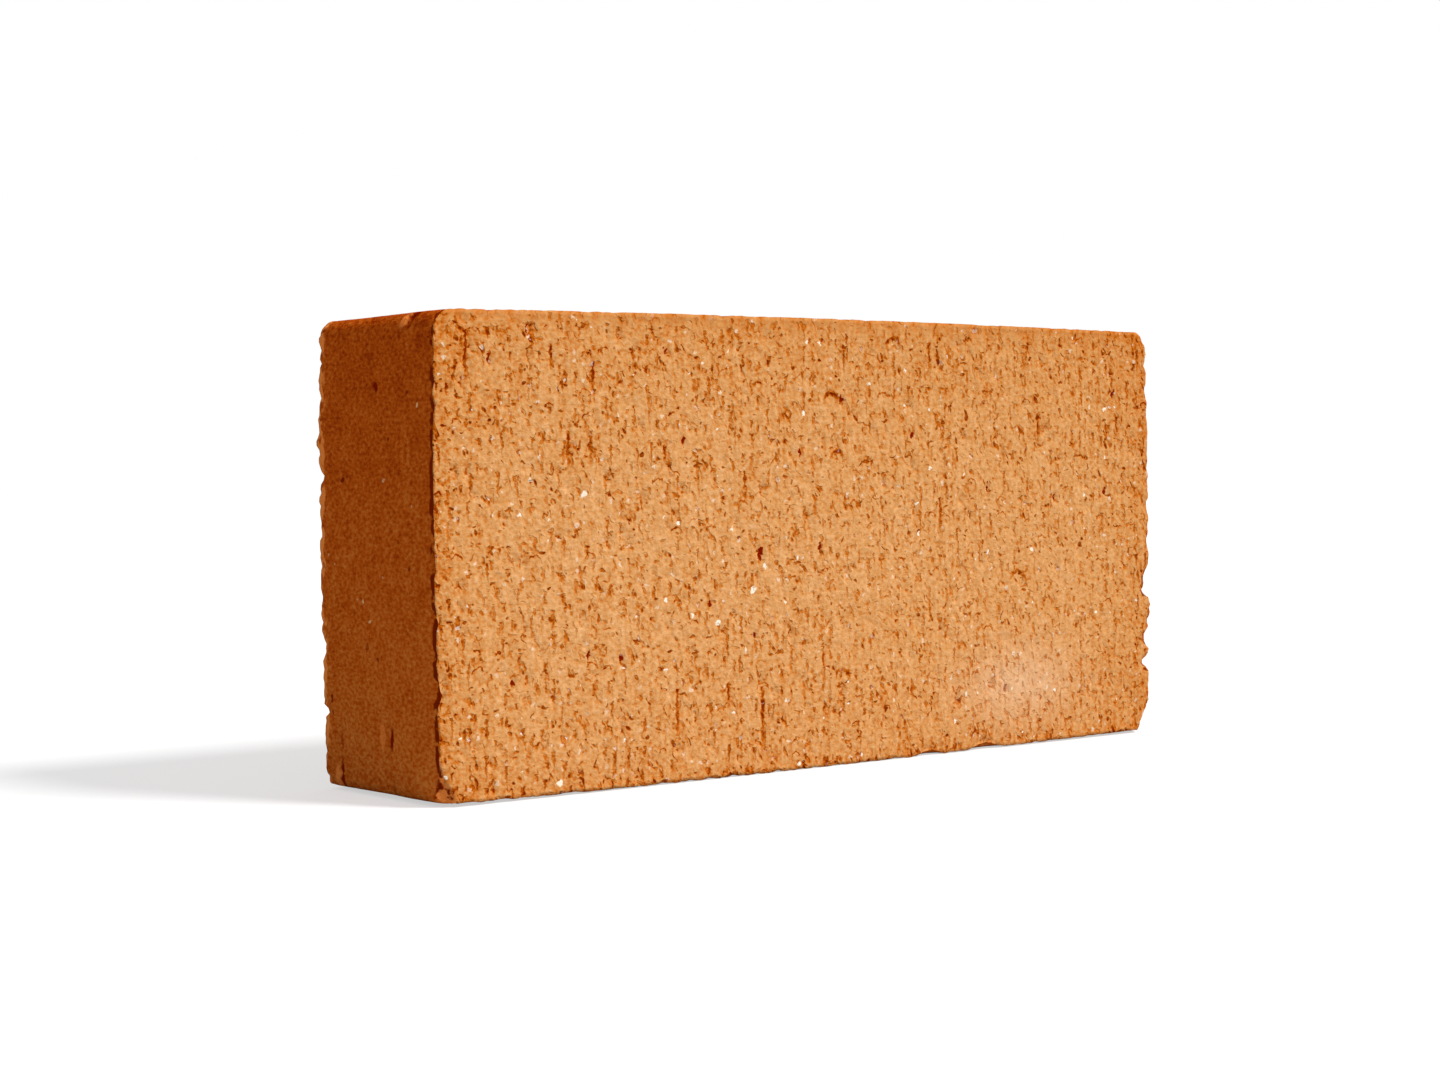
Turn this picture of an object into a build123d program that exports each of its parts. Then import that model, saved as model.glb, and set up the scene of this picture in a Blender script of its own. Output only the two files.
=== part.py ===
from build123d import *
import os

# A solid wire-cut clay brick, standing on one of its long narrow faces.
#
# A column of stiff clay leaves a die and wires slice it into bricks. The front and the back
# are those wire cuts, with crisp arrises. The four faces between them carry the die's smooth
# skin, and the four corners between those faces keep the die's rounding.
#
# X runs along the brick, Y from the front cut to the back cut and Z up. The origin is the
# middle of the face that the brick stands on. All sizes are in millimetres.

# Brick format
brick_length = 250.0
brick_height = 120.0
brick_thickness = 55.0

# Corners of the die, which are rounder at the top of the column than where it ran on its belt
top_die_radius = 5.0
base_die_radius = 2.5

# Bevel that the wire leaves along every edge of a cut
cut_arris_bevel = 0.5

# Bites torn out of two upright arrises, each as height above the base, length and depth
front_right_bites = [(42.8, 5.0, 1.7), (27.5, 6.0, 1.3), (20.0, 3.0, 1.5)]
back_left_bites = [(18.6, 4.0, 1.3)]

# Nicks along the front arris of the base, each as place along X, length and depth
base_nicks = [(36.0, 8.0, 0.7), (58.0, 10.0, 0.8)]

# Corners knocked off the front of the base, each as its runs along X, Y and Z
right_corner_runs = (4.0, 5.0, 9.0)
left_corner_runs = (2.8, 6.0, 9.0)

# Nick in the top corner of the left end: distance behind the front cut, length and depth
end_nick_inset = 12.0
end_nick_length = 3.0
end_nick_depth = 1.6

# Shallow dent low on the left end: offset from its middle, height, width and depth
dent_offset = -3.0
dent_height = 14.3
dent_width = 6.5
dent_depth = 0.9

# Planes that the features share
left_end = -brick_length / 2
right_end = brick_length / 2
front_cut = -brick_thickness / 2
back_cut = brick_thickness / 2


def die_section():
    """Outline of the clay column: a rectangle with rounder corners at its top than at its base."""
    outline = Rectangle(brick_length, brick_height, align=(Align.CENTER, Align.MIN))
    outline = fillet(outline.vertices().group_by(Axis.Y)[-1], top_die_radius)
    return fillet(outline.vertices().group_by(Axis.Y)[0], base_die_radius)


def sliced_column():
    """The column between two wires, with a fine bevel round both cuts."""
    column = extrude(Plane.XZ * die_section(), brick_thickness / 2, both=True)
    cuts = column.faces().sort_by(Axis.Y)
    return chamfer([*cuts[0].edges(), *cuts[-1].edges()], cut_arris_bevel)


def scoop_radius(length, depth):
    """Radius of the round scoop that is this long where it breaks a surface, and this deep."""
    return (length**2 / 4 + depth**2) / (2 * depth)


def arris_bite(arris, outward, along, length, depth):
    """Round scoop across an arris. Outward points away from the brick, midway between its faces."""
    radius = scoop_radius(length, depth)
    centre = Vector(arris) + Vector(outward).normalized() * (radius - depth)
    across = Vector(outward).cross(Vector(along)).normalized()
    return Plane(origin=centre, z_dir=across) * Cylinder(radius, 4 * length)


def upright_bites(end, cut, bites):
    """The bites along one upright arris, where an end of the brick meets a cut."""
    outward = (end / right_end, cut / back_cut, 0)
    return [
        arris_bite((end, cut, height), outward, (0, 0, 1), length, depth)
        for height, length, depth in bites
    ]


def front_base_nicks():
    """The nicks along the arris where the front cut meets the base."""
    return [
        arris_bite((place, front_cut, 0), (0, -1, -1), (1, 0, 0), length, depth)
        for place, length, depth in base_nicks
    ]


def end_nick():
    """A nick across the die's rounding, above the left end."""
    corner_inset = top_die_radius * (1 - 1 / 2**0.5)
    crown = (left_end + corner_inset, front_cut + end_nick_inset, brick_height - corner_inset)
    return arris_bite(crown, (-1, 0, 1), (0, 1, 0), end_nick_length, end_nick_depth)


def end_dent():
    """A shallow round dent in the left end."""
    radius = scoop_radius(dent_width, dent_depth)
    centre = (left_end - radius + dent_depth, dent_offset, dent_height)
    return Plane(origin=centre, x_dir=(-1, 0, 0)) * Sphere(radius)


def corner_break(end, runs):
    """Plane across a front corner of the base, which it meets at the three runs, facing outwards."""
    run_x, run_y, run_z = runs
    outward = (end / right_end / run_x, -1 / run_y, -1 / run_z)
    return Plane(origin=(end, front_cut, run_z), z_dir=outward)


def brick():
    """The whole brick: one slice of the column, with its chips, its dent and its broken corners."""
    chips = [
        *upright_bites(right_end, front_cut, front_right_bites),
        *upright_bites(left_end, back_cut, back_left_bites),
        *front_base_nicks(),
        end_nick(),
        end_dent(),
    ]
    body = sliced_column() - chips
    body = split(body, bisect_by=corner_break(right_end, right_corner_runs), keep=Keep.BOTTOM)
    return split(body, bisect_by=corner_break(left_end, left_corner_runs), keep=Keep.BOTTOM)


os.makedirs("parts", exist_ok=True)
export_step(brick(), "parts/brick.step")
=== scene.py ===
import math
from functools import partial

import bpy
import numpy as np
from bpy.props import FloatProperty, FloatVectorProperty, IntProperty, PointerProperty
from mathutils import Matrix, Vector


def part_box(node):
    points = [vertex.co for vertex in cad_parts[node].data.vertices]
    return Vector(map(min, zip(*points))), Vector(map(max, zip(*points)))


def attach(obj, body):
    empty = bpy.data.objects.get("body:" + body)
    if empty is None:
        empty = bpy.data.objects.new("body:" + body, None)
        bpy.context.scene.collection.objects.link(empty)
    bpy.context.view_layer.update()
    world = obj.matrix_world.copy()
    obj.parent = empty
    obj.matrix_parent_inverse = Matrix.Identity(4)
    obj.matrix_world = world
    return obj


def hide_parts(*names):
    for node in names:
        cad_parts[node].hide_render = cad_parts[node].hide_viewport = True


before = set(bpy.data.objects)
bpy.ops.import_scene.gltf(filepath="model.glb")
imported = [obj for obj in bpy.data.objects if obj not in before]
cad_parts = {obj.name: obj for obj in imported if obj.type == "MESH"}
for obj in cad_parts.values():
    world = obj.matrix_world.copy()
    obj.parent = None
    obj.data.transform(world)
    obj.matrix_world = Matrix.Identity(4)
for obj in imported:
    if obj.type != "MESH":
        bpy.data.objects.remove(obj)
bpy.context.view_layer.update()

bl_info = {
    "name": "Wire-cut clay brick",
    "version": (1, 0, 0),
    "blender": (4, 5, 0),
    "location": "3D View > Sidebar > Brick",
    "description": "A fired clay brick with wire-cut faces, die skin and torn arrises, and a plain studio",
    "category": "Object",
}

# The brick's box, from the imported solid. Surfaces are worked out in millimetres and stored in metres.
MM = 0.001
BRICK_LOW, BRICK_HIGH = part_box("brick")
LENGTH, THICKNESS, HEIGHT = (BRICK_HIGH - BRICK_LOW) / MM
MID_HEIGHT = HEIGHT / 2

# Rings of points between the two cuts, as distances from the nearer cut: close together at the arrises
RING_DEPTHS = (0.5, 1.1, 1.9, 2.9, 4.2, 5.9, 7.9, 10.0, 12.2, 14.4, 16.6, 18.8, 21.0, 23.2, 25.4)

# How far the arrises are torn back, in millimetres, on the front cut and on the back cut
ARRIS_TEAR = {"left": (0.75, 0.75), "right": (0.8, 0.5), "top": (0.2, 0.4), "base": (0.32, 0.5)}

# Teeth along an arris, as their length and share of the tearing; then the lengths of the stretches that are
# torn more or less, and of the fine crumble
TOOTH_LENGTHS = ((7.2, 0.55), (3.3, 0.4))
TEAR_STRETCH = 13.0
TEAR_CRUMBLE = 1.6

# Reach of the tearing from an arris: where it draws in and sinks the cut, where it draws in the skin, and
# where it colours the clay; then the part of the tearing that sinks the cut
DRAWN_REACH = 2.4
SUNK_REACH = 1.5
SKIN_REACH = 2.0
TORN_REACH = 3.0
SUNK_SHARE = 0.55

# Dark lip of the skin along the front arris, which is painted shade, also along the top, where it darkens
# the lit edge: its distance from the cut, half width and strength at the top
SHADE_LIP_INSET = 0.5
SHADE_LIP_REACH = 1.3
TOP_SHADE_LIP = 0.7

# Single bites in an arris, as place along it, half length and depth; a spur has a negative depth
FRONT_RIGHT_BITES = (
    (45.5, 4.0, 1.6), (42.0, 1.7, 2.3), (36.4, 3.0, -0.9), (27.7, 3.0, 1.7), (20.4, 1.7, 2.6),
)
BACK_LEFT_BITES = ((19.2, 1.6, 1.2), (88.4, 1.8, -0.6))
FRONT_BASE_BITES = ((35.0, 5.0, 1.2), (57.0, 6.0, 1.4))
FRONT_LEFT_BITES = ((96.5, 1.4, 0.5),)
BITES = {
    "right": (FRONT_RIGHT_BITES, ()),
    "left": (FRONT_LEFT_BITES, BACK_LEFT_BITES),
    "base": (FRONT_BASE_BITES, ()),
    "top": ((), ()),
}

# Front corners of the base that are knocked off, as their runs along X, Y and Z; then the usual depth of
# the roughness of their breaks
RIGHT_CORNER_RUNS = (6.0, 6.0, 11.0)
LEFT_CORNER_RUNS = (6.0, 5.0, 12.0)
BREAK_DEPTH = 0.45

# Strewn marks, as the width and height of a cell with one mark, and the share of cells that keep theirs
PIT_CELLS = (4.0, 5.2, 0.4)
GROOVE_CELLS = (7.0, 12.0, 0.6)
SCALE_CELLS = (7.0, 7.0, 0.5)
CRUMB_CELLS = (4.0, 4.0, 0.6)
SKIN_PIT_CELLS = (6.5, 7.5, 0.3)

# Soft waves of the cuts, of the skin and of the broken corners, as the width and height of their cells and
# their own height
CUT_WAVES = ((17.0, 24.0, 0.16), (1.5, 16.0, 0.07), (2.4, 5.0, 0.05))
SKIN_WAVES = ((14.0, 19.0, 0.1), (2.5, 9.0, 0.03))
BREAK_WAVES = ((2.2, 2.2, 1.0), (1.1, 1.1, 0.5))

# Depths below the brick's box of the cuts and the skin before their marks, height of crumbs, and strength
# and depth of the skin's pits
CUT_SETBACK = 0.25
SKIN_SETBACK = 0.1
CRUMB_HEIGHT = 0.22
SKIN_PIT_STRENGTH = 0.8
SKIN_PIT_DEPTH = 0.35

# Long drag grooves of the front cut: their half width, and each as X, height of the top end and length
GROOVE_HALF_WIDTH = 0.85
FRONT_GROOVES = (
    (-115.2, 114.1, 14.6), (-85.5, 90.0, 11.2), (-90.4, 110.9, 6.3), (-77.8, 107.1, 10.2),
    (-78.7, 89.0, 8.3), (-29.7, 79.4, 8.8), (-55.8, 86.2, 4.9), (78.6, 94.7, 10.4),
    (36.3, 114.2, 9.9), (39.9, 71.3, 12.9), (107.0, 91.8, 5.0), (111.6, 93.9, 7.0),
    (-52.7, 24.0, 15.2), (-36.0, 24.5, 7.4), (-24.7, 23.0, 19.7), (-3.4, 30.8, 9.4),
)

# Deep pits of the front cut, as X, Z, half width and half height
FRONT_PITS = (
    (-24.9, 57.7, 0.9, 1.9), (-97.5, 115.2, 0.5, 1.4), (-108.8, 107.5, 0.6, 1.2), (-49.7, 87.4, 0.7, 1.4),
    (-10.8, 83.9, 0.5, 1.5), (-4.3, 58.7, 0.5, 1.9), (110.2, 100.8, 0.6, 1.5), (85.0, 70.9, 0.5, 1.6),
    (58.2, 74.3, 0.5, 1.4), (-26.8, 36.6, 0.6, 1.1), (-120.5, 100.8, 0.6, 1.2), (64.6, 17.0, 0.9, 1.4),
    (-103.1, 28.6, 0.6, 1.2), (-41.8, 45.7, 0.5, 1.4), (-80.3, 34.3, 0.6, 1.4), (-70.4, 33.0, 0.7, 1.2),
    (3.9, 98.3, 0.8, 1.5), (29.6, 88.9, 0.7, 1.0), (106.3, 72.5, 0.6, 1.3), (-55.0, 110.5, 0.7, 1.0),
)

# Torn scales of the front cut, as X, Z of the middle and radius
FRONT_SCALES = ((3.1, 23.4, 2.4), (2.0, 82.5, 2.2), (22.8, 112.7, 2.6), (0.2, 97.7, 2.4), (69.8, 47.0, 3.0))

# White quartz grains that stand out on the front cut, as X, Z and radius
FRONT_FLAKES = (
    (-9.6, 94.8, 0.8), (-80.9, 74.3, 0.9), (-23.5, 54.6, 0.8), (30.9, 70.2, 0.6),
    (-89.5, 3.1, 0.9), (-56.1, 47.0, 0.8), (-39.3, 40.5, 0.9), (-27.5, 48.4, 1.0),
)

# Dents and slits of the left end, as Y, Z, half width, half height and depth; its pale grains, with their
# strength instead; and its raised flaps of bare clay, with their height
END_MARKS = (
    (-3.6, 15.8, 3.6, 5.2, 0.7), (-5.3, 15.0, 1.2, 3.5, 0.9), (-0.6, 101.5, 1.6, 1.5, 0.8),
    (4.8, 37.2, 1.0, 1.2, 0.4), (-15.6, 118.0, 1.6, 3.2, 1.6), (19.0, 4.0, 0.9, 5.5, 0.8),
    (18.4, 13.0, 0.8, 2.6, 0.4), (-6.0, 2.5, 0.7, 3.4, 0.4),
)
END_FLAKES = (
    (-20.2, 96.4, 0.6, 0.6, 1.0), (6.4, 48.5, 0.6, 0.6, 0.9), (3.1, 43.6, 0.6, 0.6, 0.9),
    (-4.4, 78.5, 0.6, 0.6, 0.7),
)
END_FLAPS = ((21.2, 3.2, 1.2, 4.0, 0.3), (-1.0, 15.4, 1.2, 4.2, 0.17), (-12.8, 117.0, 1.2, 2.2, 0.2))

# Colours of those marks: the ovals, the height or depth that is fully tinted, and the tint. The broad dent,
# which is the first mark, keeps the skin's colour.
# The hollow tint of the dents and slits is painted shade, which the even light on this end does not give.
END_TINTS = ((END_FLAPS, 0.3, "bare_and_lit"), (END_MARKS[1:], 0.8, "hollow"), (END_FLAKES, 1.0, "clay_pale"))

# Depth behind the left end in which its marks are drawn, and a distance that is beyond them all
END_DEPTH = 5.0
FAR_OFF = 10 * THICKNESS

# Pale bloom of lime low on the front cut, as X, Z, half width and half height
BLOOM_PATCH = (70.0, 17.7, 20.0, 10.0)

# Shade of the cut: its level, and what it loses with the square of the height from the middle, with that
# height, to the right, and near both ends within their reach
SHADE_LEVEL = 0.018
SHADE_ROUND = 0.09
SHADE_UP = 0.016
SHADE_ALONG = 0.01
SHADE_ENDS = 0.08
END_REACH = 17.0

# Strength of the drag marks: its level, what it loses to the right, and the shares that the smooth strip
# under the top, within its reach, and the bloom take from it
DRAG_LEVEL = 0.95
DRAG_ALONG = 0.07
SMOOTH_TOP = 0.7
SMOOTH_REACH = 3.5
BLOOM_COVER = 0.4

# Starts of the random numbers, the step between patterns that share a start, and what the arrises add
CUT_SEEDS = (11, 503)
SKIN_SEED = 907
SEED_STEP = 20
ARRIS_SEEDS = 200

# How far the two cuts are moved apart, to either side, on the plane that their patterns are drawn on
CUT_STRETCH = 300.0

# Sizes of the lumps in the cut's patterns, in millimetres along it and up it. True sand grain is finer
# than this; it is drawn as coarse as the picture can show.
CUT_GRAIN = (1.3, 1.15)
CUT_MOTTLE = (2.6, 3.2)
CUT_STREAK = (1.6, 15.0)
CUT_ROUGH = (5.0, 11.0)
CUT_STRONG = (3.5, 3.8)
NICK_SIZE = (2.6, 1.8)
HOOK_SIZE = (4.2, 4.6)
HOOK_PIECE = (2.4, 3.0)
LEANING_SIZE = (2.2, 4.0)

# Sideways step of leaning marks for each step up
LEAN = 0.3

# Size and reach of the random shift that makes marks ragged, in millimetres
CRUMBLE_SIZE = 1.3
CRUMBLE_REACH = 1.6

# Sizes of the lumps in the patterns of the die skin and the breaks, in millimetres along X, Y and Z
SKIN_GRAIN = (1.4, 1.4, 0.9)
SKIN_CLOUD = (6.0, 6.0, 7.0)
SKIN_CLUMP = (3.0, 3.0, 3.6)
BREAK_LUMP = (2.4, 2.4, 2.8)

# Sand grains of the die skin: cell size in millimetres, the share of cells that have one, the largest
# radius and its soft edge as parts of the cell, and strength
SAND_CELL = 5.0
SAND_SHARE = 0.4
SAND_RADIUS = 0.1
SAND_EDGE = 0.03
SAND_STRENGTH = 0.6

# Usual spread of the soft noise that the patterns are made from, by its number of dimensions
NOISE_SPREAD = {2: 0.1, 3: 0.076}

# Strewn white grains of the cut: cell size in millimetres, a start of their own, the share of cells that
# have one, the largest radius as a part of the cell, and its soft edge. The cream ones are partly painted
# highlights, standing in for the lit lips of tears.
QUARTZ = ((4.4, 4.4), 31.0, 0.09, 0.15, 0.07)
CREAM_AND_HIGHLIGHTS = ((2.7, 2.7), 47.0, 0.36, 0.26, 0.12)

# Strewn drag lines, long and short, and torn arcs: cell width and height, start and share of cells
LONG_LINES = ((4.6, 11.0), 53.0, 0.75)
SHORT_LINES = ((3.0, 5.5), 61.0, 0.7)
TORN_ARCS = ((5.5, 5.5), 71.0, 0.22)

# Drag lines: half width in the middle and its gain to the top, soft edge, strength, and the shortest and
# longest as parts of a cell's height
LINE_HALF_WIDTH = 0.46
LINE_TAPER = 0.28
LINE_EDGE = 0.3
LINE_STRENGTH = 0.7
LINE_LENGTHS = (0.3, 0.9)

# Arcs: the smallest and largest radius, the height over which they rise, and the distances from the ring at
# which a strewn arc and a scale of the front cut start and are full
ARC_RADII = (0.8, 2.0)
ARC_RISE = 0.9
ARC_EDGE = (0.35, 0.1)
SCALE_EDGE = (0.8, 0.3)

# Where the colour of a mark starts and where it is full: millimetres from the middle of a front groove,
# parts of the half size of a deep pit and of an oval on the left end, and strengths of a strewn pit, of a
# deep pit, of a ragged mark of the skin and of the lumps of a break
GROOVE_EDGE = (0.8, 0.25)
PIT_EDGE = (1.6, 0.2)
END_EDGE = (1.1, 0.6)
PIT_ONSET = (0.6, 0.95)
DEEP_ONSET = (0.4, 0.65)
RAGGED_ONSET = (0.35, 0.65)
LUMP_ONSET = (-1.2, -0.1)

# Fine tears: the strengths of their clouds at which nicks and hooks start and are full, the distances from
# a zero line at which a hook does, and how much a rough place adds to nicks and hooks
NICK_ONSET = (1.7, 2.5)
HOOK_ONSET = (1.1, 1.8)
HOOK_EDGE = (0.55, 0.15)
ROUGH_NICKS = 0.15
ROUGH_HOOKS = 0.2

# Tone of the cut clay: its start, what each pattern adds, and the tones at which a tint starts and is full
CUT_TONE = 0.56
CUT_TONE_PARTS = {
    "grain": 0.07, "mottle": 0.02, "streak": 0.02, "rough": -0.02,
    "shade": 1.0, "tears": -0.45, "torn": -0.07,
}
CUT_TINTS = {"clay_pale": (0.5, 1.0), "clay_orange": (0.5, 0.25), "rust_and_shade": (0.27, 0.0)}

# The same for the die skin, with what a millimetre of height takes from its tone. That fall with height is
# painted light: floor bounce painted in, so the skin is paler towards the base and darker on top.
SKIN_TONE = 0.69
SKIN_TONE_PARTS = {"grain": 0.125, "cloud": 0.04, "height": -0.003}
SKIN_TINTS = {"skin_pale": (0.5, 1.0), "skin_dark": (0.5, 0.0)}

# Heights of the relief that is too fine to model, in millimetres
CUT_GRAIN_RISE = 0.02
CUT_MOTTLE_RISE = 0.03
TEAR_DEPTH = 0.26
SKIN_GRAIN_RISE = 0.05

# Fired clay is matt, and so dusty that it has no shine at all
CLAY_ROUGHNESS = 0.9
CLAY_SHINE = 0.0

# Floor and camera: the floor's size in metres, its white, its glow, the light it throws back, the sensor
FLOOR_SIZE = 12.0
PAPER_SHADE = 0.5
PAPER_GLOW = 0.55
PAPER_BOUNCE = 0.45
SENSOR_WIDTH = 36.0


def linear(hex_colour):
    """Linear red, green and blue of an sRGB hex colour."""
    shares = [int(hex_colour[i : i + 2], 16) / 255 for i in (1, 3, 5)]
    return tuple(s / 12.92 if s <= 0.04045 else ((s + 0.055) / 1.055) ** 2.4 for s in shares)


class BrickShape(bpy.types.PropertyGroup):
    """Sizes of the brick's surface"""

    columns: IntProperty(
        name="Columns", description="Steps of the surface along the brick", default=330, min=60, max=400
    )
    rows: IntProperty(
        name="Rows", description="Steps of the surface up the brick", default=108, min=30, max=160
    )
    top_radius: FloatProperty(
        name="Top corner radius", description="Rounding of the die at the top corners",
        default=5.0 * MM, min=1.0 * MM, max=15.0 * MM, unit="LENGTH",
    )
    base_radius: FloatProperty(
        name="Base corner radius", description="Rounding of the die at the base corners",
        default=2.5 * MM, min=1.0 * MM, max=15.0 * MM, unit="LENGTH",
    )
    crown: FloatProperty(
        name="Crown", description="How far the corners draw in from the middles of the edges",
        default=0.8 * MM, min=0.0, max=3.0 * MM, unit="LENGTH",
    )
    pit_depth: FloatProperty(
        name="Pit depth", description="Depth of the deepest torn pits and drag grooves",
        default=0.8 * MM, min=0.0, max=2.0 * MM, unit="LENGTH",
    )
    tear: FloatProperty(
        name="Arris tearing", description="Share of the full tearing along the arrises",
        default=1.0, min=0.0, max=1.5, subtype="FACTOR",
    )


def clay_colour(name, description, hex_colour):
    """A colour setting of the finish, from an sRGB hex colour."""
    return FloatVectorProperty(
        name=name, description=description, default=linear(hex_colour),
        size=3, min=0, max=1, subtype="COLOR",
    )


class BrickFinish(bpy.types.PropertyGroup):
    """Colours of the fired clay"""

    clay: clay_colour("Cut clay", "Fired body that the wire lays open", "#D89757")
    # Painted shade: dark bottoms of the deepest pits of the cut, and of the dents and slits of the left
    # end.
    hollow: clay_colour("Deep pits", "Bottoms of the deepest pits of the cut", "#8A1C00")
    clay_pale: clay_colour("Pale clay", "Dusty, paler grains of the cut and the skin", "#F6C28C")
    clay_orange: clay_colour("Orange clay", "Iron-rich grains, rims of tears and torn arrises", "#CA6A14")
    # Partly painted light: fresh clay, made bright on the torn back arris and the broken corners as if
    # those shaded edges caught the key lamp.
    bare_and_lit: clay_colour("Bare clay", "Fresh clay of flaps, torn back arrises and broken corners", "#FF9444")
    # Partly painted shade: besides iron stain, this dark stands for shade in tears, pits and cracks, and on
    # the lip along the front arris it is painted shade only.
    rust_and_shade: clay_colour("Rust in tears", "Dark iron stain in pits, tears and grooves", "#842400")
    skin: clay_colour("Die skin", "Smooth, deeper fired skin of the extruded faces", "#CC5C12")
    skin_pale: clay_colour("Pale die skin", "Paler grains and patches of the die skin", "#E48638")
    skin_dark: clay_colour("Dark die skin", "Darker grains of the die skin", "#9C3006")
    quartz: clay_colour("Quartz", "White sand grains in the clay", "#FFF0DA")
    bloom: clay_colour("Bloom", "Pale lime bloom on the cut", "#EABA8E")


class BrickStudio(bpy.types.PropertyGroup):
    """Light and camera"""

    key_level: FloatProperty(
        name="Key level", description="Light of the key lamp on a surface that faces it",
        default=0.95, min=0.0, max=3.0,
    )
    key_azimuth: FloatProperty(
        name="Key azimuth", description="Turn of the key lamp from the front towards the right",
        default=math.radians(30), subtype="ANGLE",
    )
    key_elevation: FloatProperty(
        name="Key elevation", description="Height of the key lamp above the horizon",
        default=math.radians(44), subtype="ANGLE",
    )
    key_softness: FloatProperty(
        name="Key softness", description="Apparent width of the key lamp",
        default=math.radians(14), subtype="ANGLE",
    )
    ambient: FloatProperty(
        name="Ambient level", description="Light from all round", default=0.42, min=0.0, max=2.0,
    )
    camera_place: FloatVectorProperty(
        name="Camera place", description="Where the camera stands",
        default=(-0.4371, -0.5327, 0.0798), size=3, subtype="XYZ", unit="LENGTH",
    )
    camera_turn: FloatVectorProperty(
        name="Camera turn", description="Turn to the right from +Y, tilt above the horizon and roll",
        default=(math.radians(38.27), math.radians(-1.6), math.radians(-0.75)), size=3, subtype="EULER",
    )
    lens: FloatProperty(
        name="Lens", description="Focal length on a 36 mm wide sensor, in millimetres",
        default=62.25, min=10.0, max=300.0,
    )


def smooth_step(low, high, value):
    """0 below low, 1 above high, and 3t² - 2t³ between them."""
    t = np.clip((value - low) / (high - low), 0, 1)
    return t * t * (3 - 2 * t)


def cell_random(column, row, seed):
    """A repeatable number from 0 to 1 for each cell: its whole-number column and row and the seed,
    multiplied by large odd numbers, with the high bits folded back over the low ones."""
    word = np.uint64(0xFFFFFFFF)
    column = np.asarray(column).astype(np.int64).astype(np.uint64)
    row = np.asarray(row).astype(np.int64).astype(np.uint64)
    mixed = column * np.uint64(374761393) + row * np.uint64(668265263) + np.uint64(seed * 974711)
    mixed = ((mixed ^ (mixed >> np.uint64(13))) * np.uint64(1274126177)) & word
    mixed = ((mixed ^ (mixed >> np.uint64(16))) * np.uint64(2246822519)) & word
    return ((mixed ^ (mixed >> np.uint64(15))) & np.uint64(0xFFFFFF)) / float(0xFFFFFF)


def smooth_noise(x, z, cell_x, cell_z, seed):
    """Noise from -1 to 1: a random height at each corner of a grid of cells, blended over each cell
    by 3t² - 2t³ along both sides."""
    column, row = np.floor(x / cell_x), np.floor(z / cell_z)
    across, up = smooth_step(0, 1, x / cell_x - column), smooth_step(0, 1, z / cell_z - row)
    corner = [[cell_random(column + i, row + j, seed) for i in (0, 1)] for j in (0, 1)]
    lower = corner[0][0] * (1 - across) + corner[0][1] * across
    upper = corner[1][0] * (1 - across) + corner[1][1] * across
    return 2 * (lower * (1 - up) + upper * up) - 1


def waves(x, z, sizes, seed):
    """The sum of several soft noises, each with cells and a height of its own."""
    return sum(
        height * smooth_noise(x, z, cell_x, cell_z, seed + SEED_STEP * number)
        for number, (cell_x, cell_z, height) in enumerate(sizes)
    )


def scatter(x, z, cells, seed, mark):
    """The strongest of many marks, strewn one to a cell, each at a random place in its cell. Only a share
    of the cells keeps its mark. mark(dx, dz, picks) is a mark's strength at an offset from its centre,
    and picks are the mark's own random numbers."""
    cell_x, cell_z, share = cells
    column, row = np.floor(x / cell_x), np.floor(z / cell_z)
    strength = np.zeros_like(x)
    for i in (-1, 0, 1):
        for j in (-1, 0, 1):
            picks = [cell_random(column + i, row + j, seed + n) for n in range(6)]
            dx = x - (column + i + picks[0]) * cell_x
            dz = z - (row + j + picks[1]) * cell_z
            strength = np.maximum(strength, np.where(picks[2] < share, mark(dx, dz, picks), 0))
    return strength


def pit_mark(dx, dz, half_width, half_height, lean):
    """A torn pit: 1 in the middle, falling to 0 at an egg-shaped rim that leans to one side.
    The rim is near above the middle and far below it, so the pit is steep at its top."""
    reach = half_height * np.where(dz > 0, 0.6, 1.3)
    return 1 - smooth_step(0.35, 1.25, np.hypot((dx + lean * dz) / half_width, dz / reach))


def groove_mark(dx, dz, half_width, length):
    """A drag groove that hangs from its top end: deepest there, fading with the square root of the
    length that is left, with straight walls and a slight wander."""
    wander = 0.3 * np.sin(dz * 0.8)
    wall = np.clip(1 - np.abs(dx + wander) / half_width, 0, 1)
    left = np.sqrt(np.clip(1 + dz / length, 0, 1))
    return wall * left * (1 - smooth_step(-0.2, 0.6, dz))


def scale_mark(dx, dz, radius):
    """A torn scale: a round flake lifted along its upper rim, where the step is steep, that dies out
    downwards with the height inside the rim."""
    rim = 1 - smooth_step(0.75, 1.1, np.hypot(dx, dz) / radius)
    return rim * np.clip(0.15 + 0.85 * dz / radius, 0, 1)


def strewn_pit(dx, dz, picks):
    """A pit of random size and lean, most of them small."""
    half_width = 0.6 + 0.4 * picks[3] ** 2
    half_height = 0.8 + 1.4 * picks[4] ** 2
    return (0.35 + 0.65 * picks[3]) * pit_mark(dx, dz, half_width, half_height, 0.9 * picks[5] - 0.3)


def strewn_groove(dx, dz, picks):
    """A drag groove of random length and strength."""
    return (0.4 + 0.5 * picks[3]) * groove_mark(dx, dz, 0.8, 3.5 + 8.0 * picks[4] ** 2)


def strewn_scale(dx, dz, picks):
    """A torn scale of random size."""
    return (0.4 + 0.6 * picks[3]) * scale_mark(dx, dz, 1.2 + 1.6 * picks[4])


def strewn_crumb(dx, dz, picks):
    """A raised crumb: 1 in the middle, falling smoothly to 0 at its rim."""
    radius = 0.7 + 0.8 * picks[3]
    return (0.4 + 0.6 * picks[4]) * (1 - smooth_step(0.1, 1.0, np.hypot(dx, dz * 0.7) / radius))


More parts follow.
